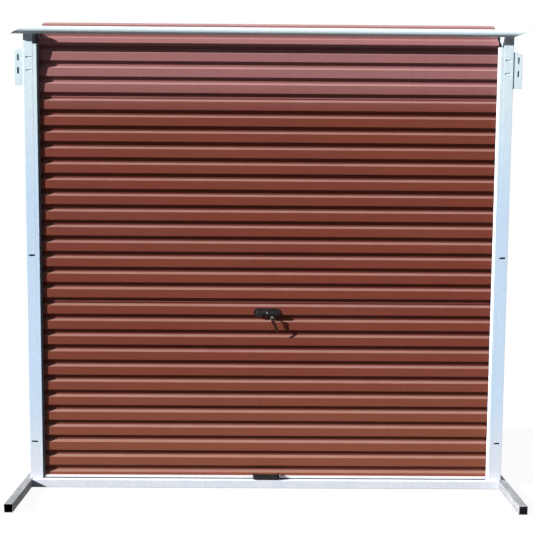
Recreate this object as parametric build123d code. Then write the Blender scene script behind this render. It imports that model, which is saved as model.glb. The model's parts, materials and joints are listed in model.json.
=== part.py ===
from build123d import *
import os
from math import atan2, cos, pi, radians, sin, sqrt, tan

# Roller shutter door hung in a free-standing steel stand.
# Millimetres, +Z up, the face of the door looks along -Y, origin on the floor at the middle of the stand.

# Stand
TUBE = 40.0                 # square tube of the feet and of the base beam
TUBE_WALL = 2.0
FOOT_LENGTH = 850.0
CAP_PLUG = 20.0             # plastic plug in each end of a foot
CAP_EDGE = 1.5              # bevel round its face
BEAM_PROUD = 20.0           # front of the beam ahead of the front of the posts
FOOT_UNDER_POST = 13.0      # how far a foot reaches in under its post
POST_WIDTH = 45.0
POST_DEPTH = 40.0
POST_WALL = 2.5
POST_ABOVE_ROLL = 133.0     # top of a post above the middle of the roll
PIPE_R = 18.0               # pipe across the fronts of the posts, near their tops
PIPE_WALL = 2.5
PIPE_PAST_LEFT = 53.0       # ends of the pipe past the outer sides of the posts
PIPE_PAST_RIGHT = 73.0
PIPE_DROP = 13.0            # middle of the pipe under the tops of the posts
PIPE_END_CUT = 80.0         # how far each slanted end cut runs along the pipe

# Slots in the face of each post
POST_SLOT_LENGTH = 30.0
POST_SLOT_WIDTH = 9.0
POST_SLOT_INSET = 19.0      # from the inner side of the post
POST_SLOT_HEIGHTS = (227.0, 1153.0)

# Curtain: one skin of ribbed steel sheet
CURTAIN_WIDTH = 2224.0
SHEET = 1.0
RIB_PITCH = 76.0
RIB_FACE = 40.0
RIB_DEPTH = 14.0
UPPER_BEVEL = 11.0
LOWER_BEVEL = 13.0
DOOR_SETBACK = 376.0        # front ends of the feet to the front plane of the ribs
FIRST_RIB = 105.8           # height of the lower edge of the first whole rib face
SEAM_EXTRA = 5.0            # a valley with a lock seam is this much wider
BOTTOM_SHEET_RIBS = 11
TOP_SHEET_RIBS = 3          # last ribs before the roll; the middle sheet has those between

# Roll
ROLL_R = 200.0
ROLL_SETBACK = 214.0        # centre of the roll behind the front plane of the ribs
ROLL_HEIGHT = 2107.0
ROLL_TURNS = 1.25
TURN_GAP = 5.0              # air between one turn and the next
LEAN = radians(6.0)         # the curtain leans back this far where it meets the roll
LEAN_BEND_R = 1500.0

# Guides
GUIDE_WALL = 1.5
GUIDE_WIDTH = 18.0
EDGE_IN_GUIDE = 2.0         # edge of the curtain past the inner edge of its guide
GUIDE_REACH = 12.0          # front of the guide ahead of the ribs
GUIDE_MOUTH = 19.0          # top of the channel below the start of the curtain's bend
FLANGE_ABOVE_ROLL = 58.0    # the front flange runs on up past the middle of the roll
LIP = 10.0                  # flared lip of the front flange
STRIP_WIDTH = 8.0           # plastic wear strips in the channel
BACK_STRIP = 1.2
STRIP_INSET = 1.0
SLIDE_GAP = 0.3

# Axle and drum wheels
AXLE_R = 24.0
AXLE_WALL = 3.0
AXLE_OVERHANG = 30.0        # past the outer side of each bracket's arm
WHEEL_WIDTH = 44.0
WHEEL_RIM = 10.0
WHEEL_HUB = 14.0
WHEEL_SPOKES = 4
SPOKE_START = 45.0
SPOKE_WIDTH = 22.0
SPOKE_THICK = 8.0
WHEEL_INSET = 20.0          # end wheels behind the edge of the curtain

# Brackets
PLATE = 4.0
PLATE_REACH = 43.0          # outer edge of the plate past the outer side of the post
PLATE_BELOW_ROLL = 137.0    # edges of the plate from the middle of the roll
PLATE_ABOVE_ROLL = 35.0
PLATE_CHAMFER_X = 26.0
PLATE_CHAMFER_Z = 12.0
ARM_HEAD = 45.0             # round head of the arm about the axle
ARM_FLANGE = 22.0
WALL_SLOT_INSET = 17.0      # from the outer edge of the plate
WALL_SLOT_LENGTH = 32.0
WALL_SLOT_WIDTH = 10.0
WALL_SLOT_TOP = 40.0        # from the top of the plate to the middle of the upper slot
WALL_SLOT_SPACING = 62.0
STRAP = 4.0                 # saddle strap over the axle
STRAP_WIDTH = 20.0
STRAP_BASE = 6.0
STRAP_EAR = 12.0

# Bottom rail
RAIL_HEIGHT = 11.0
RAIL_FRONT = 6.0            # rail in front of the ribs
RAIL_BACK = 12.0            # rail behind the sheet
SEAL_HEIGHT = 5.0
SEAL_WIDTH = 12.0
RAIL_GRIP = 7.0             # sheet inside the rail
RAIL_END_GAP = 3.0          # end of the rail to the lip of the guide

# Lift handle on the rail
HANDLE_WIDTH = 130.0
HANDLE_REACH = 28.0
HANDLE_HEIGHT = 26.0
HANDLE_THICK = 6.0

# Lock
LOCK_RIB = 10               # counted up from the first whole rib
LOCK_RISE = 12.0            # axis of the lock above the lower edge of that rib
LOCK_PLATE_WIDTH = 131.0
LOCK_PLATE_HEIGHT = 42.0
LOCK_PLATE = 3.0
SPINDLE_R = 7.0
HUB_R = 15.0
HUB_LENGTH = 9.0
GRIP_WIDTH = 104.0
GRIP_HEIGHT = 16.0
GRIP_THICK = 9.0
LOCK_RUN = 0.3              # running gap between the hub and the plate
BARREL_R = 6.0
BARREL_RIM = 5.0            # lobe of the plate about the barrel
BARREL_X = 24.0
BARREL_DROP = 22.0
BARREL_LENGTH = 6.0
CASE_WIDTH = 150.0
CASE_HEIGHT = 60.0
CASE_DEPTH = 26.0
BAR_WIDTH = 20.0
BAR_THICK = 3.0
BAR_SIDE_GAP = 3.0          # end of a lock bar to the post
CLIP_WIDTH = 24.0
CLIP_REACH = 9.0
CLIP_INSET = 110.0          # outer side of a clip from the edge of the curtain
CLIP_SEAT = 6.0             # clip's foot on the valley below the lock

# Key, ring and tag
KEY_LENGTH = 16.0           # barrel to the middle of the key's head
KEY_THICK = 2.4
KEY_HEAD_R = 8.0
KEY_HOLE_R = 2.4
KEY_HOLE_DROP = 4.0
RING_WIDTH = 22.0
RING_HEIGHT = 14.0
RING_BAR = 1.8
RING_SAG = 0.8              # ring below the middle of the key's hole
TAG_WIDTH = 15.0
TAG_LENGTH = 60.0
TAG_LAYER = 1.4
TAG_SWING = 24.0

# Places worked out from the sizes above
HALF_WIDTH = CURTAIN_WIDTH / 2
RIB_Y = -FOOT_LENGTH / 2 + DOOR_SETBACK
SHEET_BACK_Y = RIB_Y + RIB_DEPTH + SHEET
POST_FRONT_Y = RIB_Y - GUIDE_REACH
POST_BACK_Y = POST_FRONT_Y + POST_DEPTH
GUIDE_BACK_Y = SHEET_BACK_Y + SLIDE_GAP + BACK_STRIP + GUIDE_WALL
OPENING_HALF = HALF_WIDTH - EDGE_IN_GUIDE
POST_INNER_X = OPENING_HALF + GUIDE_WIDTH
POST_OUTER_X = POST_INNER_X + POST_WIDTH
FOOT_INNER_X = POST_OUTER_X - FOOT_UNDER_POST
LIP_X = OPENING_HALF - LIP
BEAM_FRONT_Y = POST_FRONT_Y - BEAM_PROUD
POST_TOP = ROLL_HEIGHT + POST_ABOVE_ROLL
PIPE_Y = POST_FRONT_Y - PIPE_R
PIPE_Z = POST_TOP - PIPE_DROP
ROLL_Y = RIB_Y + ROLL_SETBACK
RAIL_BOTTOM = TUBE + SEAL_HEIGHT
RAIL_TOP = RAIL_BOTTOM + RAIL_HEIGHT
TURN_STEP = RIB_DEPTH + SHEET + TURN_GAP
LOCK_Z = FIRST_RIB + RIB_PITCH * LOCK_RIB + LOCK_RISE
PLATE_OUTER_X = POST_OUTER_X + PLATE_REACH
ARM_X = PLATE_OUTER_X - PLATE
AXLE_HALF = PLATE_OUTER_X + AXLE_OVERHANG
PLATE_BOTTOM = ROLL_HEIGHT - PLATE_BELOW_ROLL
PLATE_TOP = ROLL_HEIGHT + PLATE_ABOVE_ROLL
WALL_SLOT_X = PLATE_OUTER_X - WALL_SLOT_INSET
WALL_SLOT_Z = PLATE_TOP - WALL_SLOT_TOP

# The curtain's path: straight up, a bend, a straight lean, then the spiral of the roll
LEAN_END_Y = ROLL_Y - ROLL_R * cos(LEAN)
LEAN_END_Z = ROLL_HEIGHT + ROLL_R * sin(LEAN)
LEAN_LENGTH = (LEAN_END_Y - RIB_Y - LEAN_BEND_R * (1 - cos(LEAN))) / sin(LEAN)
BEND_Z = LEAN_END_Z - LEAN_LENGTH * cos(LEAN) - LEAN_BEND_R * sin(LEAN)
BEND_END = BEND_Z + LEAN_BEND_R * LEAN
ROLL_START = BEND_END + LEAN_LENGTH
ROLL_ANGLE = 2 * pi * ROLL_TURNS
GUIDE_TOP = BEND_Z - GUIDE_MOUTH
FLANGE_TOP = ROLL_HEIGHT + FLANGE_ABOVE_ROLL
LEAD_RIBS = int((ROLL_START - FIRST_RIB - 2 * SEAM_EXTRA) // RIB_PITCH) + 1
TOP_SEAM_RIB = LEAD_RIBS - TOP_SHEET_RIBS
ROLL_END = ROLL_START + ROLL_R * ROLL_ANGLE - TURN_STEP * ROLL_ANGLE**2 / (4 * pi)


def block(x0, x1, y0, y1, z0, z1):
    """A box between two opposite corners."""
    middle = ((x0 + x1) / 2, (y0 + y1) / 2, (z0 + z1) / 2)
    return Pos(*middle) * Box(abs(x1 - x0), abs(y1 - y0), abs(z1 - z0))


def rod(start, end, radius):
    """A round bar from one point to another."""
    line = Vector(*end) - Vector(*start)
    return extrude(Plane(origin=start, z_dir=line) * Circle(radius), line.length)


def other_side(shape):
    """The same piece on the left of the door."""
    return mirror(shape, about=Plane.YZ)


def across(points, width, x0=None):
    """A profile drawn in Y and Z, pulled along X."""
    start = -width / 2 if x0 is None else x0
    outline = make_face(Polyline(*points, close=True))
    return extrude(Plane.YZ.offset(start) * outline, width)


def curtain_point(s, depth):
    """The point a way s along the curtain and a depth behind the front plane of its ribs."""
    if s <= BEND_Z:
        angle, y, z = 0.0, RIB_Y, s
    elif s <= BEND_END:
        angle = (s - BEND_Z) / LEAN_BEND_R
        y = RIB_Y + LEAN_BEND_R * (1 - cos(angle))
        z = BEND_Z + LEAN_BEND_R * sin(angle)
    elif s <= ROLL_START:
        angle = LEAN
        y = LEAN_END_Y - (ROLL_START - s) * sin(LEAN)
        z = LEAN_END_Z - (ROLL_START - s) * cos(LEAN)
    else:
        turned = (ROLL_R - sqrt(ROLL_R**2 - TURN_STEP * (s - ROLL_START) / pi)) * 2 * pi / TURN_STEP
        angle = LEAN + turned
        radius = ROLL_R - TURN_STEP * turned / (2 * pi)
        y = ROLL_Y - radius * cos(angle)
        z = ROLL_HEIGHT + radius * sin(angle)
    return y + depth * cos(angle), z - depth * sin(angle)


def rib_start(rib):
    """Way along the curtain to the lower edge of a rib's face, with the seams below it."""
    seams = (rib >= BOTTOM_SHEET_RIBS) + (rib >= TOP_SEAM_RIB)
    return FIRST_RIB + RIB_PITCH * rib + SEAM_EXTRA * seams


def rib_corners(first, last, side):
    """Corners of the ribs from first to last: side 0 is the front skin, side 1 the back skin."""
    upper_shift = side * SHEET * tan(atan2(RIB_DEPTH, UPPER_BEVEL) / 2)
    lower_shift = side * SHEET * tan(atan2(RIB_DEPTH, LOWER_BEVEL) / 2)
    front = side * SHEET
    back = RIB_DEPTH + side * SHEET
    corners = []
    for rib in range(first, last + 1):
        start = rib_start(rib)
        corners += [
            (start - LOWER_BEVEL + lower_shift, back),
            (start + lower_shift, front),
            (start + RIB_FACE - upper_shift, front),
            (start + RIB_FACE + UPPER_BEVEL - upper_shift, back),
        ]
    return corners


def valley_middle(rib):
    """Way along the curtain to the middle of the valley above a rib."""
    return (rib_start(rib) + RIB_FACE + UPPER_BEVEL + rib_start(rib + 1) - LOWER_BEVEL) / 2


def ribbed_sheet(first, last, start, end, cut_foot=False, cut_head=False):
    """A sheet of the curtain with its ribs, from one way along the path to another."""
    skins = []
    for side in (0, 1):
        corners = rib_corners(first, last, side)
        if cut_foot:
            corners = [(start, side * SHEET)] + corners[2:]
        else:
            corners = [(start, RIB_DEPTH + side * SHEET)] + corners
        if cut_head:
            corners = corners[:-2] + [(end, side * SHEET)]
        else:
            corners = corners + [(end, RIB_DEPTH + side * SHEET)]
        skins.append([curtain_point(s, depth) for s, depth in corners])
    return across(skins[0] + skins[1][::-1], CURTAIN_WIDTH)


def curtain():
    """The sheets of the curtain, from the bottom rail to its inner end on the drum."""
    seam_1 = BOTTOM_SHEET_RIBS - 1
    seam_2 = TOP_SEAM_RIB - 1
    lead_end = LEAD_RIBS - 1
    last_rib = int((ROLL_END - FIRST_RIB - 2 * SEAM_EXTRA - RIB_FACE) // RIB_PITCH)
    joints = [RAIL_TOP - RAIL_GRIP] + [valley_middle(rib) for rib in (seam_1, seam_2, lead_end, last_rib)]
    return {
        "curtain_sheet_bottom": ribbed_sheet(-1, seam_1, joints[0], joints[1], cut_foot=True),
        "curtain_sheet_middle": ribbed_sheet(seam_1 + 1, seam_2, joints[1], joints[2]),
        "curtain_sheet_top": ribbed_sheet(seam_2 + 1, lead_end, joints[2], joints[3]),
        "curtain_roll": ribbed_sheet(lead_end + 1, last_rib, joints[3], joints[4]),
    }


def foot():
    """Square tube laid front to back under the outer edge of the right post."""
    half = FOOT_LENGTH / 2
    outer_x = FOOT_INNER_X + TUBE
    tube = block(FOOT_INNER_X, outer_x, -half, half, 0, TUBE)
    bore = block(FOOT_INNER_X + TUBE_WALL, outer_x - TUBE_WALL, -half, half, TUBE_WALL, TUBE - TUBE_WALL)
    return tube - bore


def foot_cap(side):
    """Plastic plug in one end of the right foot: side -1 is the front end."""
    end = side * FOOT_LENGTH / 2
    x0, x1 = FOOT_INNER_X + TUBE_WALL, FOOT_INNER_X + TUBE - TUBE_WALL
    plug = block(x0, x1, end - side * CAP_PLUG, end, TUBE_WALL, TUBE - TUBE_WALL)
    face = plug.faces().sort_by(Axis.Y)[0 if side < 0 else -1]
    return chamfer(face.edges(), CAP_EDGE)


def base_beam():
    """Square tube on the floor between the feet, under the posts and the curtain."""
    y0, y1 = BEAM_FRONT_Y, BEAM_FRONT_Y + TUBE
    tube = block(-FOOT_INNER_X, FOOT_INNER_X, y0, y1, 0, TUBE)
    bore = block(-FOOT_INNER_X, FOOT_INNER_X, y0 + TUBE_WALL, y1 - TUBE_WALL, TUBE_WALL, TUBE - TUBE_WALL)
    return tube - bore


def flat_slot(x, z, length, width, y0, y1, upright=False):
    """Cutter for a slot with round ends through a face that looks along Y."""
    shape = SlotOverall(length, width)
    if upright:
        shape = Rot(0, 0, 90) * shape
    return extrude(Plane(origin=(x, y0, z), x_dir=(1, 0, 0), z_dir=(0, 1, 0)) * shape, y1 - y0)


def post():
    """Right post: a box section with slots in its face."""
    body = block(POST_INNER_X, POST_OUTER_X, POST_FRONT_Y, POST_BACK_Y, TUBE, POST_TOP)
    body -= block(
        POST_INNER_X + POST_WALL, POST_OUTER_X - POST_WALL,
        POST_FRONT_Y + POST_WALL, POST_BACK_Y - POST_WALL, TUBE, POST_TOP,
    )
    slot_x = POST_INNER_X + POST_SLOT_INSET
    for z in (*POST_SLOT_HEIGHTS, WALL_SLOT_Z - WALL_SLOT_SPACING, WALL_SLOT_Z):
        y1 = POST_FRONT_Y + POST_WALL
        body -= flat_slot(slot_x, z, POST_SLOT_LENGTH, POST_SLOT_WIDTH, POST_FRONT_Y, y1)
    return body


def guide():
    """Right guide: a channel beside the post that holds the edge of the curtain, with a flared lip."""
    front, back = POST_FRONT_Y, GUIDE_BACK_Y
    fold = GUIDE_WALL * tan(pi / 8)
    slant = GUIDE_WALL * sin(pi / 4)
    web_x = POST_INNER_X - GUIDE_WALL
    outline = Polyline(
        (POST_INNER_X, front), (OPENING_HALF, front), (LIP_X, front + LIP),
        (LIP_X + slant, front + LIP + slant), (OPENING_HALF + fold, front + GUIDE_WALL),
        (web_x, front + GUIDE_WALL), (web_x, back - GUIDE_WALL), (OPENING_HALF, back - GUIDE_WALL),
        (OPENING_HALF, back), (POST_INNER_X, back), close=True,
    )
    channel = extrude(Plane.XY.offset(TUBE) * make_face(outline), FLANGE_TOP - TUBE)
    open_top = block(LIP_X, POST_INNER_X, front + LIP + slant, back, GUIDE_TOP, FLANGE_TOP)
    open_top += block(OPENING_HALF + fold, POST_INNER_X, front + GUIDE_WALL, back, GUIDE_TOP, FLANGE_TOP)
    return channel - open_top


def guide_strip():
    """Two plastic wear strips in the right guide, one before and one behind the curtain."""
    x0 = OPENING_HALF + STRIP_INSET
    x1 = x0 + STRIP_WIDTH
    front = block(x0, x1, POST_FRONT_Y + GUIDE_WALL, RIB_Y - SLIDE_GAP, RAIL_TOP, GUIDE_TOP)
    back_y = GUIDE_BACK_Y - GUIDE_WALL
    back = block(x0, x1, back_y - BACK_STRIP, back_y, RAIL_TOP, GUIDE_TOP)
    return Compound([front, back])


def top_pipe():
    """Round pipe fixed across the posts, with its ends cut at the same slant."""
    left, right = -POST_OUTER_X - PIPE_PAST_LEFT, POST_OUTER_X + PIPE_PAST_RIGHT
    start, end = (left, PIPE_Y, PIPE_Z), (right, PIPE_Y, PIPE_Z)
    pipe = rod(start, end, PIPE_R) - rod(start, end, PIPE_R - PIPE_WALL)
    low, high = PIPE_Z - PIPE_R, PIPE_Z + PIPE_R
    plane = Plane.XZ.offset(-PIPE_Y - PIPE_R)
    for end_x, run, near, far in ((right, -PIPE_END_CUT, low, high), (left, PIPE_END_CUT, high, low)):
        wedge = Polyline((end_x, far), (end_x + run, near), (end_x, near), close=True)
        pipe -= extrude(plane * make_face(wedge), 2 * PIPE_R)
    return pipe


def bracket():
    """Right drum bracket: a leg on the side of the post, a slotted face and an arm back to the axle."""
    front = POST_FRONT_Y + POST_WALL
    back = front + PLATE
    arm_top = PLATE_TOP - PLATE_CHAMFER_Z
    outline = Polyline(
        (POST_OUTER_X, PLATE_BOTTOM), (PLATE_OUTER_X, PLATE_BOTTOM), (PLATE_OUTER_X, arm_top),
        (PLATE_OUTER_X - PLATE_CHAMFER_X, PLATE_TOP), (POST_OUTER_X, PLATE_TOP), close=True,
    )
    face = extrude(Plane.XZ.offset(-back) * make_face(outline), PLATE)
    for z in (WALL_SLOT_Z, WALL_SLOT_Z - WALL_SLOT_SPACING):
        face -= flat_slot(WALL_SLOT_X, z, WALL_SLOT_LENGTH, WALL_SLOT_WIDTH, front, back, upright=True)
    leg = block(POST_OUTER_X, POST_OUTER_X + PLATE, back, POST_BACK_Y, PLATE_BOTTOM, PLATE_TOP)
    centre = (ROLL_Y, ROLL_HEIGHT)
    web_outline = make_hull([
        *Polyline((back, PLATE_BOTTOM), (back, arm_top)).edges(),
        *(Pos(*centre) * CenterArc((0, 0), ARM_HEAD, 0, 360)).edges(),
    ])
    web = extrude(Plane.YZ.offset(ARM_X) * web_outline, PLATE)
    reach = sqrt((ROLL_Y - back) ** 2 + (ROLL_HEIGHT - PLATE_BOTTOM) ** 2)
    rise = atan2(ROLL_HEIGHT - PLATE_BOTTOM, ROLL_Y - back)
    tilt = rise + atan2(-ARM_HEAD, sqrt(reach**2 - ARM_HEAD**2))
    foot_point = (ROLL_Y + ARM_HEAD * sin(tilt), ROLL_HEIGHT - ARM_HEAD * cos(tilt))
    flange_points = [
        (back, PLATE_BOTTOM),
        foot_point,
        (foot_point[0] - sin(tilt) * PLATE, foot_point[1] + cos(tilt) * PLATE),
        (back, PLATE_BOTTOM + PLATE / cos(tilt)),
    ]
    flange = across(flange_points, ARM_FLANGE, PLATE_OUTER_X - ARM_FLANGE)
    return face + leg + web + flange - rod((ARM_X, *centre), (PLATE_OUTER_X, *centre), AXLE_R)


def axle_clamp():
    """Saddle strap and its base that hold the right end of the axle outside the bracket's arm."""
    outer_r = AXLE_R + STRAP
    drop = AXLE_R + STRAP_BASE
    plane = Plane(origin=(PLATE_OUTER_X, ROLL_Y, ROLL_HEIGHT), x_dir=(0, 1, 0), z_dir=(1, 0, 0))
    profile = Circle(outer_r) + Pos(0, -drop / 2) * Rectangle(2 * outer_r, drop)
    profile += Pos(0, STRAP_BASE / 2 - drop) * Rectangle(2 * (outer_r + STRAP_EAR), STRAP_BASE)
    profile -= Circle(AXLE_R) + Pos(0, -AXLE_R / 2) * Rectangle(2 * AXLE_R, AXLE_R)
    return extrude(plane * profile, STRAP_WIDTH)


def axle():
    """Steel pipe that carries the roll, held at both ends."""
    start, end = (-AXLE_HALF, ROLL_Y, ROLL_HEIGHT), (AXLE_HALF, ROLL_Y, ROLL_HEIGHT)
    return rod(start, end, AXLE_R) - rod(start, end, AXLE_R - AXLE_WALL)


def drum_wheel(x):
    """Pressed wheel on the axle, whose rim the inner end of the curtain is wound on."""
    inner_turn = ROLL_R - TURN_STEP * ROLL_TURNS - RIB_DEPTH - SHEET
    rim_r = inner_turn - SLIDE_GAP
    plane = Plane.YZ.offset(x - WHEEL_WIDTH / 2)
    place = plane * Pos(ROLL_Y, ROLL_HEIGHT)
    rim = extrude(place * (Circle(rim_r) - Circle(rim_r - WHEEL_RIM)), WHEEL_WIDTH)
    hub = extrude(place * (RegularPolygon(AXLE_R + WHEEL_HUB, 8) - Circle(AXLE_R)), WHEEL_WIDTH)
    web = Plane.YZ.offset(x - SPOKE_THICK / 2) * Pos(ROLL_Y, ROLL_HEIGHT)
    inner, outer = AXLE_R + WHEEL_HUB / 2, rim_r - WHEEL_RIM / 2
    spoke = Pos((inner + outer) / 2, 0) * Rectangle(outer - inner, SPOKE_WIDTH)
    wheel = rim + hub
    for step in range(WHEEL_SPOKES):
        turn = SPOKE_START + step * 360 / WHEEL_SPOKES
        wheel += extrude(web * Rot(0, 0, turn) * spoke, SPOKE_THICK)
    return wheel


def bottom_rail():
    """Rail along the foot of the curtain, slotted for the sheet."""
    half = LIP_X - RAIL_END_GAP
    y0, y1 = RIB_Y - RAIL_FRONT, SHEET_BACK_Y + RAIL_BACK - RIB_DEPTH
    rail = block(-half, half, y0, y1, RAIL_BOTTOM, RAIL_TOP)
    rail -= block(-half, half, RIB_Y, RIB_Y + SHEET, RAIL_TOP - RAIL_GRIP, RAIL_TOP)
    return rail


def bottom_seal():
    """Rubber strip under the rail, resting on the beam."""
    half = LIP_X - RAIL_END_GAP
    y0 = RIB_Y - SEAL_WIDTH / 2
    return block(-half, half, y0, y0 + SEAL_WIDTH, TUBE, RAIL_BOTTOM)


def bottom_handle():
    """Lift handle: a bent strap fixed to the front of the rail, with room for fingers behind it."""
    back_y = RIB_Y - RAIL_FRONT
    front_y = back_y - HANDLE_REACH
    half = HANDLE_WIDTH / 2
    z0, z1 = RAIL_BOTTOM, RAIL_BOTTOM + HANDLE_HEIGHT
    solid = block(-half, half, front_y, back_y, z0, z1)
    corners = solid.edges().filter_by(Axis.Z).sort_by(Axis.Y)[:2]
    solid = fillet(corners, 2 * HANDLE_THICK)
    inside = block(-half + HANDLE_THICK, half - HANDLE_THICK, front_y + HANDLE_THICK, back_y, z0, z1)
    inside = fillet(inside.edges().filter_by(Axis.Z).sort_by(Axis.Y)[:2], HANDLE_THICK)
    return solid - inside


def lock_plate():
    """Plate of the lock on the face of the curtain, with the spindle that the handle turns on."""
    plane = Plane(origin=(0, RIB_Y, LOCK_Z), x_dir=(1, 0, 0), z_dir=(0, -1, 0))
    lobe = Pos(BARREL_X, -BARREL_DROP) * Circle(BARREL_R + BARREL_RIM)
    plate = extrude(plane * (SlotOverall(LOCK_PLATE_WIDTH, LOCK_PLATE_HEIGHT) + lobe), LOCK_PLATE)
    spindle = extrude(plane * Circle(SPINDLE_R), LOCK_PLATE + HUB_LENGTH)
    return plate + spindle


def lock_handle():
    """Turning handle: a hub on the spindle with a grip bar across its front."""
    face_y = RIB_Y - LOCK_PLATE - LOCK_RUN
    plane = Plane(origin=(0, face_y, LOCK_Z), x_dir=(1, 0, 0), z_dir=(0, -1, 0))
    hub = extrude(plane * Circle(HUB_R), HUB_LENGTH)
    grip = extrude(plane.offset(HUB_LENGTH) * SlotOverall(GRIP_WIDTH, GRIP_HEIGHT), GRIP_THICK)
    grip = chamfer(grip.faces().sort_by(Axis.Y)[0].edges(), GRIP_THICK / 4)
    bore = extrude(plane * Circle(SPINDLE_R + LOCK_RUN / 3), HUB_LENGTH + LOCK_RUN)
    return hub + grip - bore


def lock_barrel():
    """Key barrel beside the handle."""
    plane = barrel_plane()
    return extrude(plane * Circle(BARREL_R), BARREL_LENGTH)


def barrel_plane():
    """Plane on the face of the lock plate at the key barrel."""
    face_y = RIB_Y - LOCK_PLATE
    return Plane(origin=(BARREL_X, face_y, LOCK_Z - BARREL_DROP), x_dir=(1, 0, 0), z_dir=(0, -1, 0))


def key_middle():
    """Middle of the head of the key."""
    y = RIB_Y - LOCK_PLATE - BARREL_LENGTH - KEY_LENGTH
    return BARREL_X, y, LOCK_Z - BARREL_DROP


def key():
    """Key in the barrel, its round head standing out of it with a hole for the ring."""
    shank = extrude(barrel_plane().offset(BARREL_LENGTH) * Rectangle(KEY_THICK, 2 * KEY_THICK), KEY_LENGTH)
    x, y, z = key_middle()
    side = Plane(origin=(x - KEY_THICK / 2, y, z), x_dir=(0, 1, 0), z_dir=(1, 0, 0))
    head = extrude(side * Circle(KEY_HEAD_R), KEY_THICK)
    hole = extrude(side * Pos(0, -KEY_HOLE_DROP) * Circle(KEY_HOLE_R), KEY_THICK)
    return shank + head - hole


def hanging(shape):
    """A piece drawn straight under the hole of the key, swung to its real place."""
    x, y, z = key_middle()
    return Pos(x, y, z - KEY_HOLE_DROP - RING_SAG) * Rot(0, -TAG_SWING, 0) * shape


def key_ring():
    """Flat wire ring through the head of the key."""
    inner = Rectangle(RING_WIDTH - 2 * RING_BAR, RING_HEIGHT - 2 * RING_BAR)
    ring = RectangleRounded(RING_WIDTH, RING_HEIGHT, RING_BAR) - inner
    middle = (0, RING_BAR / 2, RING_BAR / 2 - RING_HEIGHT / 2)
    return hanging(extrude(Plane(origin=middle, x_dir=(1, 0, 0), z_dir=(0, -1, 0)) * ring, RING_BAR))


def key_tag():
    """Leather tag folded over the lower bar of the ring."""
    bar_z = RING_BAR - RING_HEIGHT
    loop_r = RING_BAR / sqrt(2) + SLIDE_GAP
    plane = Plane.YZ.offset(-TAG_WIDTH / 2)
    loop = extrude(plane * Pos(0, bar_z) * Circle(loop_r + TAG_LAYER), TAG_WIDTH)
    strap = block(-TAG_WIDTH / 2, TAG_WIDTH / 2, -TAG_LAYER, TAG_LAYER, bar_z - TAG_LENGTH, bar_z)
    foot_edges = strap.edges().filter_by(Axis.Y).sort_by(Axis.Z)[:2]
    strap = fillet(foot_edges, TAG_WIDTH / 3)
    eye = extrude(plane * Pos(0, bar_z) * Circle(loop_r), TAG_WIDTH)
    return hanging(loop + strap - eye)


def lock_case():
    """Closed case of the lock behind the curtain."""
    y0 = SHEET_BACK_Y
    case = block(
        -CASE_WIDTH / 2, CASE_WIDTH / 2, y0, y0 + CASE_DEPTH,
        LOCK_Z - CASE_HEIGHT / 2, LOCK_Z + CASE_HEIGHT / 2,
    )
    return fillet(case.faces().sort_by(Axis.Y)[-1].edges(), 2 * BAR_THICK)


def lock_bar():
    """Flat bar from the lock case to the right guide."""
    y0 = GUIDE_BACK_Y + CLIP_REACH / 2
    x1 = POST_INNER_X - BAR_SIDE_GAP
    return block(CASE_WIDTH / 2, x1, y0, y0 + BAR_THICK, LOCK_Z - BAR_WIDTH / 2, LOCK_Z + BAR_WIDTH / 2)


def bar_clip():
    """Staple on the back of the curtain that the right lock bar slides in."""
    x1 = HALF_WIDTH - CLIP_INSET
    x0 = x1 - CLIP_WIDTH
    y0 = SHEET_BACK_Y
    y1 = GUIDE_BACK_Y + CLIP_REACH / 2 + BAR_THICK + SLIDE_GAP
    half = BAR_WIDTH / 2 + SLIDE_GAP
    outer = half + BAR_THICK
    seat_z = rib_start(LOCK_RIB) - LOWER_BEVEL - CLIP_SEAT
    staple = block(x0, x1, y0, y1 + BAR_THICK, LOCK_Z - outer, LOCK_Z + outer)
    staple += block(x0, x1, y0, y0 + BAR_THICK, seat_z, LOCK_Z)
    return staple - block(x0, x1, y0 + BAR_THICK, y1, LOCK_Z - half, LOCK_Z + half)


def build():
    """Every node of the door by name."""
    nodes = {}
    for name, make in (
        ("foot", foot), ("post", post), ("guide", guide), ("guide_strip", guide_strip),
        ("bracket", bracket), ("axle_clamp", axle_clamp), ("lock_bar", lock_bar), ("lock_bar_clip", bar_clip),
    ):
        nodes[name + "_right"] = make()
        nodes[name + "_left"] = other_side(nodes[name + "_right"])
    for end, side in (("front", -1), ("back", 1)):
        nodes[f"foot_cap_right_{end}"] = foot_cap(side)
        nodes[f"foot_cap_left_{end}"] = other_side(nodes[f"foot_cap_right_{end}"])
    wheel_x = HALF_WIDTH - WHEEL_INSET - WHEEL_WIDTH / 2
    for place, x in (("left", -wheel_x), ("centre", 0.0), ("right", wheel_x)):
        nodes["drum_wheel_" + place] = drum_wheel(x)
    nodes.update(curtain())
    for make in (
        base_beam, top_pipe, axle, bottom_rail, bottom_seal, bottom_handle,
        lock_plate, lock_handle, lock_barrel, lock_case, key, key_ring, key_tag,
    ):
        nodes[make.__name__] = make()
    return nodes


os.makedirs("parts", exist_ok=True)
for node, shape in build().items():
    export_step(shape, f"parts/{node}.step")
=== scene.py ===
import json
import math
import random

import bmesh
import bpy
from mathutils import Matrix, Vector


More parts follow.
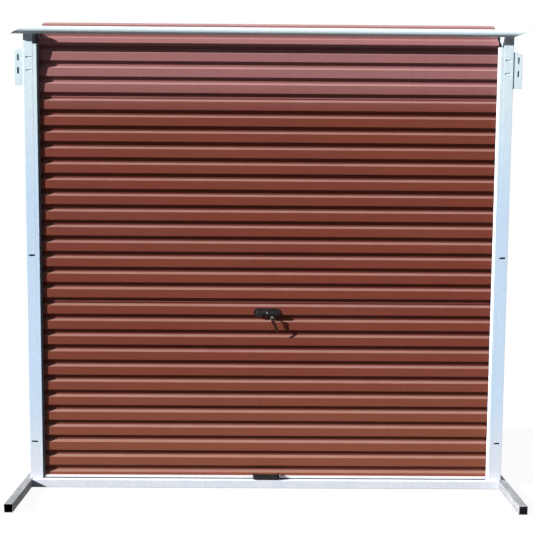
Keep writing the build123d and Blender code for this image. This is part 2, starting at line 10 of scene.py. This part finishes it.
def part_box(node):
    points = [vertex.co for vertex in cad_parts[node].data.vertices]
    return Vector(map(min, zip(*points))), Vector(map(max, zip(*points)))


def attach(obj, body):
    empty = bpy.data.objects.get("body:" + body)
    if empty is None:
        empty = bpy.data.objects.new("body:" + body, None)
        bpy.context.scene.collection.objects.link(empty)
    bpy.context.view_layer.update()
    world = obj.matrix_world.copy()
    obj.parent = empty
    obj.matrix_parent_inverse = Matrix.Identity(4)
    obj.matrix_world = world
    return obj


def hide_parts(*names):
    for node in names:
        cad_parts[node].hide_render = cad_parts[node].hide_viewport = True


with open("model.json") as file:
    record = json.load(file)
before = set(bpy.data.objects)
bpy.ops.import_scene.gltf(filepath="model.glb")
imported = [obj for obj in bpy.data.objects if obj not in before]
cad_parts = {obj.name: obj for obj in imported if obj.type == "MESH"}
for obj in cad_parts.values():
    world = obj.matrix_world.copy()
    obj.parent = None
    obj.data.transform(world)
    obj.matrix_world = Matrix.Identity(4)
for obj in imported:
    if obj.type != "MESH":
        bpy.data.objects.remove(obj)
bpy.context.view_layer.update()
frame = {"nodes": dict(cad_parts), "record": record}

MM = 0.001
X, Y, Z = 0, 1, 2
SIDES = (("left", -1), ("right", 1))

LEAN_FROM, LEAN_TO = 1.82, 2.02   # heights between which the curtain leans back to the roll
POST_SLOTS = (2.040, 2.102)       # heights of the upper slots of the posts
SLOT_INSET = 19 * MM              # middle of a slot from the inner side of its post
SLOT_HALF = 17 * MM
TUBE_BENDS = {"least": 80.0, "most": 100.0, "segments": 4}


# Shader building

class Reading:
    """A number that changes over a surface. Sums and products of readings add Math nodes."""

    def __init__(self, finish, socket):
        self.finish = finish
        self.socket = socket

    def __add__(self, other):
        return self.finish.maths("ADD", self, other)

    def __sub__(self, other):
        return self.finish.maths("SUBTRACT", self, other)

    def __rsub__(self, other):
        return self.finish.maths("SUBTRACT", other, self)

    def __mul__(self, other):
        return self.finish.maths("MULTIPLY", self, other)

    __radd__ = __add__
    __rmul__ = __mul__


class Finish:
    """A material, or the world's light, built of shader nodes."""

    def __init__(self, owner):
        owner.use_nodes = True
        self.owner = owner
        self.tree = owner.node_tree
        self.tree.nodes.clear()

    def put(self, socket, value):
        """Sets a socket to a number, or links a reading to it."""
        if isinstance(value, Reading):
            self.tree.links.new(value.socket, socket)
        else:
            socket.default_value = value

    def add(self, kind, settings=None, sockets=None, output=0):
        """Adds a node with its settings and its sockets' values, and returns one of its outputs."""
        node = self.tree.nodes.new("ShaderNode" + kind)
        for name, value in (settings or {}).items():
            if name == "stops":
                ramp = node.color_ramp.elements
                while len(ramp) < len(value):
                    ramp.new(0.5)
                for stop, (place, colour) in zip(ramp, value):
                    stop.position = place
                    stop.color = (*colour, 1.0)
            else:
                setattr(node, name, value)
        for name, value in (sockets or {}).items():
            self.put(node.inputs[name], value)
        return Reading(self, node.outputs[output]) if node.outputs else None

    def maths(self, operation, *values):
        sockets = dict(enumerate(values))
        return self.add("Math", {"operation": operation}, sockets)

    def clamp(self, value, low, high, smooth=True):
        """0 below low, 1 above high and even or smooth between them."""
        kind = "SMOOTHSTEP" if smooth else "LINEAR"
        sockets = {"Value": value, "From Min": low, "From Max": high}
        return self.add("MapRange", {"interpolation_type": kind}, sockets)

    def mix(self, share, first, second, blend="MIX"):
        """A colour between two others."""
        settings = {"data_type": "RGBA", "blend_type": blend}
        first, second = (v if isinstance(v, Reading) else (*v, 1.0) for v in (first, second))
        return self.add("Mix", settings, {0: share, 6: first, 7: second}, 2)

    def along(self, scale):
        """The place on the object in metres, times a scale for each direction."""
        place = self.add("TexCoord", output="Object")
        return self.add("VectorMath", {"operation": "MULTIPLY"}, {0: place, 1: scale})

    def place(self, axis):
        """The place on the object along X, Y or Z, in metres."""
        return self.add("SeparateXYZ", sockets={0: self.add("TexCoord", output="Object")}, output=axis)

    def upward(self):
        """How far the surface faces up, from -1 to 1."""
        return self.add("SeparateXYZ", sockets={0: self.add("NewGeometry", output="Normal")}, output="Z")

    def noise(self, scale, detail=2.0, roughness=0.5, seed=0.0):
        """Cloudy noise from 0 to 1 at a number of patches a metre in each direction."""
        sockets = {
            "Vector": self.along(scale), "Scale": 1.0,
            "Detail": detail, "Roughness": roughness, "W": seed,
        }
        return self.add("TexNoise", {"noise_dimensions": "4D"}, sockets, "Fac")

    def cells(self, scale, output="Color"):
        """Flat cells, as zinc crystals have them."""
        return self.add("TexVoronoi", sockets={"Vector": self.along(scale), "Scale": 1.0}, output=output)

    def grey(self, colour):
        return self.add("RGBToBW", sockets={0: colour})


def surface(finish, colour, roughness, metallic=0.0, specular=0.5, bump=None, depth=0.0):
    """Closes a finish with its colour, gloss and fine relief."""
    sockets = {
        "Base Color": colour, "Roughness": roughness, "Metallic": metallic,
        "Specular IOR Level": specular,
    }
    if bump is not None:
        relief = {"Strength": 1.0, "Distance": depth, "Height": bump}
        sockets["Normal"] = finish.add("Bump", sockets=relief)
    shader = finish.add("BsdfPrincipled", sockets=sockets)
    finish.add("OutputMaterial", sockets={"Surface": shader})
    return finish.owner


def new_finish(name):
    return Finish(bpy.data.materials.new(name))


def curtain_paint():
    """Baked red-brown paint on ribbed sheet, streaked by rain, with dust and painted sheen on upper slopes,
    painted haze near the roll and painted shade on lower slopes and in the valleys.
    """
    f = new_finish("curtain_paint")
    height = f.place("Z")
    middle, foot, head = (0.185, 0.044, 0.028), (0.235, 0.072, 0.042), (0.300, 0.126, 0.126)
    paint = f.mix(f.clamp(height, 0.1, 0.8), foot, middle)
    # Painted light: paler, pinker paint where the curtain leans back to the roll stands in for the haze of
    # light on the top ribs.
    paint = f.mix(f.clamp(height, LEAN_FROM, LEAN_TO), paint, head)
    fading = f.noise((1.1, 1.1, 2.6), 3.0)
    paint = f.mix(f.clamp(fading, 0.40, 0.80) * 0.16, paint, (0.28, 0.095, 0.065))
    rain = f.noise((55.0, 20.0, 1.3), 3.0, 0.6, 3.0)
    paint = f.mix(f.clamp(rain, 0.50, 0.8) * 0.16, paint, (0.085, 0.026, 0.016))
    # Painted shade: faces that turn downwards are darkened as if in shadow.
    painted_shade_below = f.clamp(f.upward() * -1.0, 0.05, 0.60)
    paint = f.mix(painted_shade_below * 0.45, paint, (0.060, 0.018, 0.012))
    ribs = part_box("curtain_sheet_bottom")[0].y
    # Painted shade: in the upright part, the valleys behind the ribs are darkened as if in the ribs' shadow.
    upright = 1.0 - f.clamp(height, LEAN_FROM, 1.90)
    valley = f.clamp(f.place("Y"), ribs + 10 * MM, ribs + 13 * MM) * upright
    paint = f.mix(valley * 0.40, paint, (0.070, 0.020, 0.013))
    # Dust and painted sheen: upward-facing slopes are paler, partly from dust and partly as a painted
    # highlight.
    slope = f.clamp(f.upward(), 0.35, 0.80)
    patchy = f.noise((9.0, 9.0, 30.0), 3.0, 0.6, 7.0)
    dust_and_sheen = slope * (0.10 + patchy * 0.10)
    paint = f.mix(dust_and_sheen, paint, (0.82, 0.66, 0.60))
    specks = f.clamp(f.noise((330.0, 330.0, 330.0), 1.0, 0.5, 11.0), 0.72, 0.80)
    paint = f.mix(specks * 0.15, paint, (0.50, 0.36, 0.31))
    gloss = 0.44 + patchy * 0.16
    peel = f.noise((420.0, 420.0, 420.0), 1.0) * 0.3 + f.noise((7.0, 7.0, 3.0), 1.0, 0.5, 5.0)
    return surface(f, paint, gloss, specular=0.10, bump=peel, depth=0.0008)


def bright_zinc():
    """Clean hot-dipped zinc: cool blue-white, with flat crystals and painted shade on the left's inner side.
    """
    f = new_finish("galvanised")
    height = f.place("Z")
    crystal = f.grey(f.cells((75.0, 75.0, 75.0)))
    tone = f.mix(f.clamp(height, 0.03, 0.55), (0.77, 0.80, 0.86), (0.60, 0.76, 0.93))
    tone = f.mix(f.clamp(height, 1.35, 2.05), tone, (0.75, 0.88, 0.92))
    tone = f.mix(crystal * 0.22, tone, (0.42, 0.53, 0.64))
    cloud = f.noise((5.0, 5.0, 3.0), 4.0, 0.6, 2.0)
    tone = f.mix(f.clamp(cloud, 0.45, 0.8) * 0.16, tone, (0.46, 0.56, 0.66))
    scuff = f.noise((140.0, 140.0, 9.0), 3.0, 0.6, 4.0)
    tone = f.mix(f.clamp(scuff, 0.66, 0.78) * 0.20, tone, (0.30, 0.31, 0.32))
    # Painted shade: on the left side, faces turned towards the middle are darkened as if in shadow.
    inward = f.add("SeparateXYZ", sockets={0: f.add("NewGeometry", output="Normal")}, output="X")
    painted_shade_inner = f.clamp(inward, 0.4, 0.7) * f.clamp(f.place("X") * -1.0, 0.90, 1.00)
    tone = f.mix(painted_shade_inner * 0.80, tone, (0.07, 0.08, 0.10))
    return surface(f, tone, 0.48 + crystal * 0.10, specular=0.07, bump=crystal * 0.5 + cloud, depth=0.0003)


def dull_zinc():
    """Weathered zinc of the feet, axle and wheels: mottled grey with dark grains and pale bloom."""
    f = new_finish("galvanised_dull")
    crystal = f.grey(f.cells((160.0, 110.0, 160.0)))
    tone = f.mix(crystal, (0.40, 0.41, 0.43), (0.20, 0.21, 0.22))
    bloom = f.noise((22.0, 9.0, 22.0), 4.0, 0.65, 2.0)
    tone = f.mix(f.clamp(bloom, 0.42, 0.75) * 0.55, tone, (0.49, 0.50, 0.51))
    grain = f.noise((420.0, 420.0, 420.0), 2.0, 0.6, 6.0)
    tone = f.mix(f.clamp(grain, 0.54, 0.70) * 0.55, tone, (0.08, 0.08, 0.085))
    gloss = 0.50 + crystal * 0.15
    return surface(f, tone, gloss, 0.10, 0.25, bump=crystal * 0.5 + grain * 0.6, depth=0.0004)


def bright_plating(name, colour, stain, roughness):
    """Plated steel of bolts, key and barrel, with small stains."""
    f = new_finish(name)
    cloud = f.noise((160.0, 160.0, 160.0), 3.0, 0.6)
    tone = f.mix(f.clamp(cloud, 0.45, 0.75) * 0.5, colour, stain)
    scratch = f.noise((900.0, 120.0, 900.0), 2.0)
    return surface(f, tone, roughness + cloud * 0.2, 0.85, 0.5, bump=scratch, depth=0.00006)


def rail_metal():
    """Extruded rail with a bright skin, drawn along its length."""
    f = new_finish("rail_aluminium")
    drawn = f.noise((3.0, 700.0, 700.0), 2.0)
    cloud = f.noise((2.0, 30.0, 30.0), 3.0, 0.6, 1.0)
    tone = f.mix(drawn * 0.25 + cloud * 0.2, (0.88, 0.87, 0.87), (0.66, 0.66, 0.67))
    return surface(f, tone, 0.32 + drawn * 0.15, 0.15, 0.5, bump=drawn, depth=0.00008)


def moulded(name, colour, worn, roughness, grain, specular=0.2):
    """Moulded plastic, rubber or thick paint with a fine grain and rubbed places."""
    f = new_finish(name)
    cloud = f.noise((45.0, 45.0, 45.0), 3.0, 0.6)
    tone = f.mix(f.clamp(cloud, 0.48, 0.72) * 0.6, colour, worn)
    fine = f.noise((grain, grain, grain), 1.0)
    return surface(f, tone, roughness + cloud * 0.15, 0.0, specular, bump=fine, depth=0.00012)


def leather():
    """Dark red-brown leather with a pebbled grain and lighter rubbed patches."""
    f = new_finish("tag_leather")
    grain = f.cells((1100.0, 1100.0, 1100.0), "Distance")
    cloud = f.noise((90.0, 90.0, 60.0), 3.0)
    tone = f.mix(f.clamp(cloud, 0.4, 0.75), (0.024, 0.006, 0.005), (0.055, 0.014, 0.010))
    return surface(f, tone, 0.5 + grain * 0.3, 0.0, 0.15, bump=1.0 - grain, depth=0.0003)


FINISHES = {
    "curtain_paint": curtain_paint(),
    "galvanised": bright_zinc(),
    "galvanised_dull": dull_zinc(),
    "zinc_bolt": bright_plating("zinc_bolt", (0.52, 0.53, 0.53), (0.34, 0.32, 0.28), 0.34),
    "black_plastic": moulded("black_plastic", (0.006, 0.006, 0.007), (0.018, 0.018, 0.02), 0.50, 900.0, 0.08),
    "rail_aluminium": rail_metal(),
    "black_rubber": moulded("black_rubber", (0.016, 0.016, 0.018), (0.045, 0.044, 0.044), 0.72, 700.0),
    "dark_paint": moulded("dark_paint", (0.012, 0.009, 0.009), (0.040, 0.031, 0.030), 0.36, 1200.0),
    "chrome_barrel": bright_plating("chrome_barrel", (0.30, 0.28, 0.27), (0.14, 0.12, 0.11), 0.24),
    "key_steel": bright_plating("key_steel", (0.26, 0.25, 0.24), (0.12, 0.10, 0.085), 0.30),
    "tag_leather": leather(),
}


# Pieces

SLOTS = {row["node"]: row["material_slot"] for row in frame["record"]["subparts"]}


def finish_piece(name, mesh, slot, body="root", smooth=35.0):
    """Makes an object of a mesh, gives it its finish and puts it on a body."""
    data = bpy.data.meshes.new(name)
    mesh.to_mesh(data)
    mesh.free()
    data.shade_smooth()
    data.set_sharp_from_angle(angle=math.radians(smooth))
    data.materials.append(FINISHES[slot])
    piece = bpy.data.objects.new(name, data)
    bpy.context.scene.collection.objects.link(piece)
    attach(piece, body)
    return piece


def even_shading(piece):
    """Keeps the flat faces beside a rounded bend flat in their shading."""
    even = piece.modifiers.new("even", "WEIGHTED_NORMAL")
    even.keep_sharp = True
    graph = bpy.context.evaluated_depsgraph_get()
    shaded = bpy.data.meshes.new_from_object(piece.evaluated_get(graph))
    piece.modifiers.clear()
    piece.data = shaded


def bar(mesh, low, high):
    """Adds a plain flat bar between two opposite corners."""
    low, high = Vector(low), Vector(high)
    fit = Matrix.Translation((low + high) / 2) @ Matrix.Diagonal((*(high - low), 1.0))
    bmesh.ops.create_cube(mesh, size=1.0, matrix=fit)


def rounded_copy(node, width, least=25.0, most=75.0, run=None, segments=2):
    """A copy of a node with its bends rounded as in pressed or drawn steel, which stands for the node.

    The bends turn by least to most degrees and, where run is given, lie along that axis.
    """
    mesh = bmesh.new()
    mesh.from_mesh(frame["nodes"][node].data)
    mesh.transform(frame["nodes"][node].matrix_world)
    bmesh.ops.remove_doubles(mesh, verts=mesh.verts, dist=0.02 * MM)
    bmesh.ops.dissolve_limit(mesh, angle_limit=math.radians(0.5), verts=mesh.verts, edges=mesh.edges)
    bends = []
    for edge in mesh.edges:
        if not edge.is_manifold or edge.calc_length() < 60 * MM:
            continue
        angle = math.degrees(edge.calc_face_angle())
        along = (edge.verts[1].co - edge.verts[0].co).normalized()
        straight = run is None or abs(along[run]) > 0.99
        if least < angle < most and straight:
            bends.append(edge)
    bmesh.ops.bevel(
        mesh, geom=bends, offset=width, offset_type="OFFSET", segments=segments,
        profile=0.5, affect="EDGES", clamp_overlap=False,
    )
    piece = finish_piece(node + "_formed", mesh, SLOTS[node], smooth=28.0)
    even_shading(piece)
    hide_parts(node)
    return piece


def inner_side(node, sign):
    """Where a node at one side of the door ends towards the curtain."""
    low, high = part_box(node)
    return low.x if sign > 0 else high.x


def turned(mesh, profile, place, axis, sides=24, turn=0.0):
    """Adds a closed turned form: radius and height pairs about an axis. Six sides make a hexagon."""
    frame_of = Vector(axis).to_track_quat("Z", "Y").to_matrix().to_4x4()
    frame_of = Matrix.Translation(place) @ frame_of
    rings = []
    for radius, rise in profile:
        ring = []
        for step in range(sides):
            angle = turn + 2 * math.pi * step / sides
            spot = Vector((radius * math.cos(angle), radius * math.sin(angle), rise))
            ring.append(mesh.verts.new(frame_of @ spot))
        rings.append(ring)
    for low, high in zip(rings, rings[1:]):
        for step in range(sides):
            after = (step + 1) % sides
            mesh.faces.new((low[step], low[after], high[after], high[step]))
    mesh.faces.new(rings[0][::-1])
    mesh.faces.new(rings[-1])


def washer(mesh, place, axis, radius, thick=1.6 * MM):
    edge = 0.3 * MM
    profile = ((radius - edge, 0.0), (radius, edge), (radius, thick - edge), (radius - edge, thick))
    turned(mesh, profile, place, axis)


def hex_bolt(mesh, place, axis, across, turn=0.0):
    """A washer and a hexagon head with its chamfered top."""
    washer(mesh, place, axis, across * 0.98)
    base = Vector(place) + Vector(axis).normalized() * 1.6 * MM
    radius, tall = across / math.sqrt(3), across * 0.62
    profile = ((radius * 0.96, 0.0), (radius, 0.4 * MM), (radius, tall * 0.82), (radius * 0.88, tall))
    turned(mesh, profile, base, axis, sides=6, turn=turn)


def cup_head(mesh, place, axis, radius, rise):
    """The low dome of a rivet or cup-head bolt."""
    steps = 6
    profile = [(radius, 0.0), (radius, rise * 0.15)]
    for step in range(1, steps):
        angle = math.pi / 2 * step / steps
        profile.append((radius * math.cos(angle), rise * (0.15 + 0.85 * math.sin(angle))))
    turned(mesh, profile, place, axis)


def weld_bead(mesh, start, end, radius, chance):
    """A ripple of weld metal between two points."""
    start, end = Vector(start), Vector(end)
    run = end - start
    steps = max(6, round(run.length / (1.1 * MM)))
    frame_of = run.to_track_quat("Z", "Y").to_matrix().to_4x4()
    rings = []
    for step in range(steps + 1):
        share = step / steps
        ripple = 0.80 + 0.16 * abs(math.sin(step * 0.9)) + chance.uniform(-0.05, 0.05)
        taper = min(1.0, 0.35 + 6.0 * min(share, 1 - share))
        ring = []
        for spoke in range(10):
            angle = 2 * math.pi * spoke / 10
            wide = radius * ripple * taper
            spot = Vector((wide * math.cos(angle), wide * math.sin(angle), 0.0))
            ring.append(mesh.verts.new(start + run * share + (frame_of @ spot)))
        rings.append(ring)
    for low, high in zip(rings, rings[1:]):
        for spoke in range(10):
            after = (spoke + 1) % 10
            mesh.faces.new((low[spoke], low[after], high[after], high[spoke]))
    mesh.faces.new(rings[0][::-1])
    mesh.faces.new(rings[-1])


def carried_over():
    """Gives every node that keeps its CAD shape its finish."""
    for name, slot in SLOTS.items():
        node = frame["nodes"][name]
        node.data.materials.clear()
        node.data.materials.append(FINISHES[slot])


def formed_steel():
    """Curtain, tubes, guides and brackets with rounded bends."""
    for sheet in ("curtain_sheet_bottom", "curtain_sheet_middle", "curtain_sheet_top", "curtain_roll"):
        rounded_copy(sheet, 1.4 * MM, run=X)
    rounded_copy("base_beam", 2.6 * MM, run=X, **TUBE_BENDS)
    for side, _ in SIDES:
        rounded_copy("foot_" + side, 2.6 * MM, run=Y, **TUBE_BENDS)
        rounded_copy("post_" + side, 1.2 * MM, run=Z, **TUBE_BENDS)
        rounded_copy("guide_" + side, 0.5 * MM, most=100.0, run=Z, segments=3)
        rounded_copy("bracket_" + side, 0.9 * MM, 60.0, 120.0, segments=3)


def curtain_seams():
    """The flat folded seams where the sheets of the curtain are joined."""
    low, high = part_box("curtain_sheet_bottom")
    half = high.x - 20 * MM
    valley = high.y - 1.0 * MM
    outline = (
        (0.2, -4.2), (-0.7, -4.2), (-1.3, -3.7), (-1.5, -3.0), (-1.5, 2.4),
        (-1.2, 3.2), (-0.6, 3.6), (0.2, 3.6),
    )
    seams = (("lower", "curtain_sheet_bottom", 0.0), ("upper", "curtain_sheet_middle", 0.15 * MM))
    for name, sheet, back in seams:
        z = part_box(sheet)[1].z
        mesh = bmesh.new()
        ends = []
        for x in (-half, half):
            ends.append([mesh.verts.new((x, valley + back + y * MM, z + up * MM)) for y, up in outline])
        for step in range(len(outline)):
            after = (step + 1) % len(outline)
            mesh.faces.new((ends[0][step], ends[0][after], ends[1][after], ends[1][step]))
        mesh.faces.new(ends[0][::-1])
        mesh.faces.new(ends[1])
        bmesh.ops.recalc_face_normals(mesh, faces=mesh.faces)
        finish_piece("curtain_seam_" + name, mesh, "curtain_paint")


def post_fixings():
    """Nut strips behind the posts' upper slots, and a cheek from each post back to the end of the roll."""
    past_slots = 20 * MM
    cheek_foot, cheek_top = 2.118, 2.238
    cheek_depth, cheek_flange, cheek_wall = 78 * MM, 12 * MM, 3 * MM
    for side, sign in SIDES:
        low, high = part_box("post_" + side)
        inner = inner_side("post_" + side, sign)
        x = inner + sign * SLOT_INSET
        strip = bmesh.new()
        bottom, top = POST_SLOTS[0] - past_slots, POST_SLOTS[1] + past_slots
        bar(strip, (x - SLOT_HALF, low.y + 2.5 * MM, bottom), (x + SLOT_HALF, low.y + 4.5 * MM, top))
        finish_piece("post_nut_strip_" + side, strip, "galvanised")
        cheek = bmesh.new()
        back = high.y + cheek_depth
        web = (inner + sign * cheek_wall, high.y)
        flange = (inner - sign * cheek_flange, back - cheek_wall)
        for corner, front in (web, flange):
            near, far = sorted((inner, corner))
            bar(cheek, (near, front, cheek_foot), (far, back, cheek_top))
        finish_piece("roll_cheek_" + side, cheek, "galvanised")


def bracket_fixings():
    """Bolts behind the posts and nuts on the straps that hold the axle."""
    bolt_inset = 22 * MM
    for side, sign in SIDES:
        low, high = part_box("axle_clamp_" + side)
        bolts = bmesh.new()
        middle_x, middle_y = (low.x + high.x) / 2, (low.y + high.y) / 2
        reach = (high.y - low.y) / 2 - 6 * MM
        for way in (-1, 1):
            place = (middle_x, middle_y + way * reach, low.z + 6 * MM)
            hex_bolt(bolts, place, (0, 0, 1), 9 * MM, 0.3 * way)
        x, back = inner_side("post_" + side, sign) + sign * bolt_inset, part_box("post_" + side)[1].y
        for z, turn in zip(POST_SLOTS, (0.2, 0.7)):
            hex_bolt(bolts, (x, back, z), (0, 1, 0), 13 * MM, turn)
        finish_piece("bracket_bolts_" + side, bolts, "zinc_bolt")


def wheel_fixings():
    """A set bolt on the hub of each drum wheel."""
    hub_radius = 37.6 * MM
    centre_low, centre_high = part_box("drum_wheel_centre")
    middle_y, middle_z = (centre_low.y + centre_high.y) / 2, (centre_low.z + centre_high.z) / 2
    for place in ("left", "centre", "right"):
        low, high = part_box("drum_wheel_" + place)
        x = (low.x + high.x) / 2
        mesh = bmesh.new()
        hex_bolt(mesh, (x + 12 * MM, middle_y, middle_z + hub_radius), (0, 0, 1), 8 * MM)
        finish_piece("wheel_bolt_" + place, mesh, "zinc_bolt")


def stand_welds():
    """Weld beads where the beam meets the feet and where the posts stand."""
    chance = random.Random(41)
    beam_low, beam_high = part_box("base_beam")
    for side, sign in SIDES:
        post_low, post_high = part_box("post_" + side)
        joint = inner_side("foot_" + side, sign)
        top = beam_high.z
        mesh = bmesh.new()
        for y in (beam_low.y, beam_high.y):
            weld_bead(mesh, (joint, y, 4 * MM), (joint, y, top - 3 * MM), 2.2 * MM, chance)
        inner, outer = sorted((post_low.x, post_high.x), key=abs)
        seams = (
            ((joint, beam_low.y + 2 * MM, top), (joint, post_low.y - 2 * MM, top)),
            ((inner + sign * 3 * MM, post_low.y, top), (joint, post_low.y, top)),
            ((outer, post_low.y + 4 * MM, top), (outer, post_high.y - 4 * MM, top)),
        )
        for start, end in seams:
            weld_bead(mesh, start, end, 2.0 * MM, chance)
        finish_piece("stand_weld_" + side, mesh, "galvanised_dull")


def lock_fixings():
    """The dark collar of the key barrel on the lock plate, and the rivet of the turning handle."""
    plate_thick = 3 * MM
    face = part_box("curtain_sheet_bottom")[0].y - plate_thick
    low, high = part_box("lock_barrel")
    collar = bmesh.new()
    outline = ((8.6, 0.0), (9.0, 0.6), (8.6, 1.8), (7.4, 2.4), (6.2, 2.4))
    profile = [(radius * MM, rise * MM) for radius, rise in outline]
    turned(collar, profile, ((low.x + high.x) / 2, face, (low.z + high.z) / 2), (0, -1, 0), 32)
    finish_piece("lock_barrel_collar", collar, "dark_paint")
    low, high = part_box("lock_handle")
    rivet = bmesh.new()
    cup_head(rivet, ((low.x + high.x) / 2, low.y, (low.z + high.z) / 2), (0, -1, 0), 4.0 * MM, 1.6 * MM)
    finish_piece("handle_rivet", rivet, "key_steel", "lock_handle")


carried_over()
formed_steel()
curtain_seams()
post_fixings()
bracket_fixings()
wheel_fixings()
stand_welds()
lock_fixings()


# Floor, light and camera

def white_seen(f):
    """1 for rays from the camera, from gloss and through glass; 0 for light that falls on things."""
    rays = ("Is Camera Ray", "Is Glossy Ray", "Is Transmission Ray")
    seen, gloss, through = [f.add("LightPath", output=name) for name in rays]
    return f.maths("MAXIMUM", f.maths("MAXIMUM", seen, gloss), through)


def pale_floor():
    """A plain floor that shows white with a faint shadow and throws little light up."""
    f = new_finish("pale_floor")
    plain = f.add("BsdfDiffuse", sockets={"Color": (0.075, 0.07, 0.065, 1.0)})
    pale = f.add("BsdfDiffuse", sockets={"Color": (0.90, 0.90, 0.90, 1.0)})
    glow = f.add("Emission", sockets={"Color": (1.0, 1.0, 1.0, 1.0), "Strength": 1.0})
    seen = f.add("MixShader", sockets={0: 0.95, 1: pale, 2: glow})
    both = f.add("MixShader", sockets={0: white_seen(f), 1: plain, 2: seen})
    f.add("OutputMaterial", sockets={"Surface": both})
    mesh = bmesh.new()
    bmesh.ops.create_grid(mesh, x_segments=1, y_segments=1, size=40.0)
    data = bpy.data.meshes.new("floor")
    mesh.to_mesh(data)
    mesh.free()
    data.materials.append(f.owner)
    floor = bpy.data.objects.new("floor", data)
    bpy.context.scene.collection.objects.link(floor)


def sky():
    """Soft cool light from above, behind and the left, seen as white; a screen darkens the right front."""
    world = bpy.data.worlds.new("sky")
    bpy.context.scene.world = world
    f = Finish(world)
    way = f.add("TexCoord", output="Generated")
    up = f.add("SeparateXYZ", sockets={0: way}, output="Z")
    stops = ((0.0, (0.03, 0.03, 0.03)), (0.5, (0.17, 0.175, 0.20)), (1.0, (0.36, 0.42, 0.52)))
    light = f.add("ValToRGB", {"stops": stops}, {"Fac": f.clamp(up, -1.0, 1.0, False)}, "Color")
    right = f.add("SeparateXYZ", sockets={0: way}, output="X")
    behind = f.add("SeparateXYZ", sockets={0: way}, output="Y")
    screened = f.clamp(right, -0.45, 0.25) * (1.0 - f.clamp(behind, -0.3, 0.3))
    light = f.mix(screened * 0.92, light, (0.01, 0.01, 0.012))
    light = f.mix(f.clamp(behind, 0.0, 0.6) * 0.8, light, (0.52, 0.55, 0.60))
    shown = f.mix(white_seen(f), light, (1.0, 1.0, 1.0))
    background = f.add("Background", sockets={"Color": shown, "Strength": 1.0})
    f.add("OutputWorld", sockets={"Surface": background})


def sun():
    """Clear light that rakes across the door from the upper left."""
    towards = Vector((-2.6, -1.0, 1.3))
    data = bpy.data.lights.new("sun", "SUN")
    data.energy = 8.4
    data.angle = math.radians(1.2)
    lamp = bpy.data.objects.new("sun", data)
    lamp.rotation_euler = towards.to_track_quat("Z", "Y").to_euler()
    bpy.context.scene.collection.objects.link(lamp)


def camera():
    """The photograph's viewpoint, found from the ribs, the posts and the feet."""
    place = (-0.031, -4.359, 1.491)
    yaw, pitch, roll = -0.354, -5.126, -0.396
    data = bpy.data.cameras.new("camera")
    data.sensor_width = 36.0
    data.lens = 59.7
    view = bpy.data.objects.new("camera", data)
    turn = Matrix.Identity(4)
    for degrees, axis in ((yaw, "Z"), (pitch, "X"), (roll, "Y"), (90.0, "X")):
        turn @= Matrix.Rotation(math.radians(degrees), 4, axis)
    view.matrix_world = Matrix.Translation(place) @ turn
    bpy.context.scene.collection.objects.link(view)
    bpy.context.scene.camera = view


pale_floor()
sky()
sun()
camera()
bpy.context.scene.view_settings.view_transform = "Standard"
